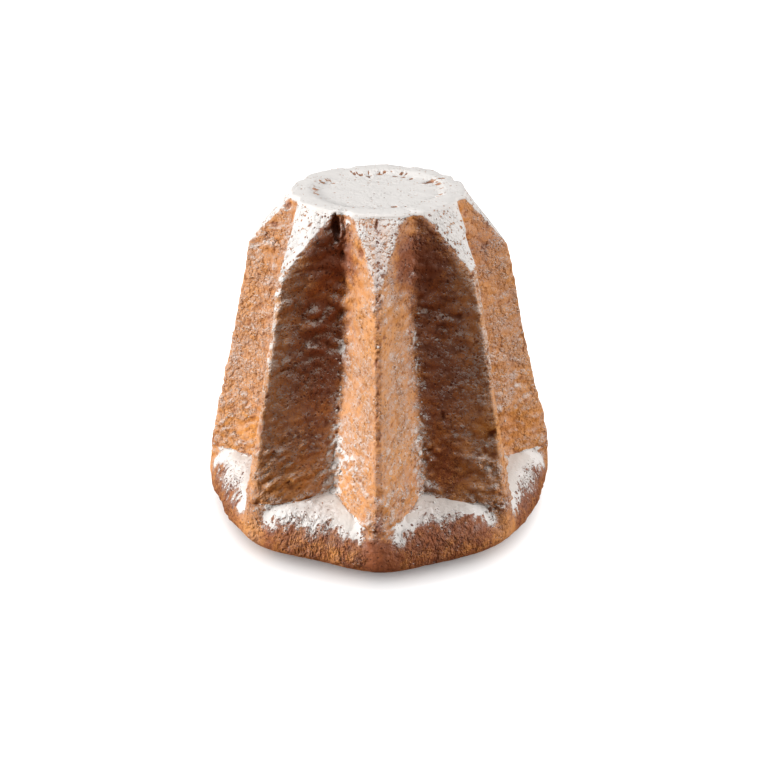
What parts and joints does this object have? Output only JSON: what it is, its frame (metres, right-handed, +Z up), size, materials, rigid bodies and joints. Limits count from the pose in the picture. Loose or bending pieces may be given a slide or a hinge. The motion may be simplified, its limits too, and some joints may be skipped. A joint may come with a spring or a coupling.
{
  "type": "pandoro",
  "caption": "Tall star-shaped sweet loaf with leaning ribs, facets up to a flat round top and a swollen foot, dusted with icing sugar.",
  "frame": {"origin": "on the floor, under the middle of the loaf", "axes": "+Z up from the flat base to the round top; one ridge points along -Y, towards the viewer"},
  "size_m": [0.2167, 0.2166, 0.205],
  "materials": {
    "crust": "matte",
    "icing_sugar": "matte"
  },
  "bodies": {
    "root": {"pandoro": "crust"}
  },
  "joints": []
}
